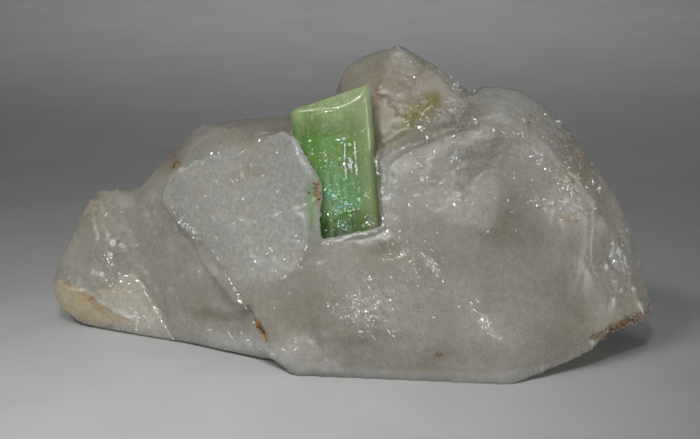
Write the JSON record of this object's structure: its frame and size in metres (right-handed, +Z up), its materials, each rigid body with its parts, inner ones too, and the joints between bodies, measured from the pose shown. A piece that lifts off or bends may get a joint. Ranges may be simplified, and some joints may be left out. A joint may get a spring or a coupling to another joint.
{
  "type": "tourmaline in quartz",
  "caption": "Natural mineral specimen: a short ribbed green prism standing half bare in a broken block of cloudy grey quartz.",
  "frame": {"origin": "middle of the block's footprint box, on the surface that it rests on", "axes": "+X along the block towards its taller end, +Z up, and -Y towards the face that shows the green prism"},
  "size_m": [0.101, 0.0466, 0.0498],
  "materials": {
    "quartz": "satin",
    "tourmaline": "gloss"
  },
  "bodies": {
    "root": {"quartz": "quartz", "tourmaline": "tourmaline"}
  },
  "joints": []
}
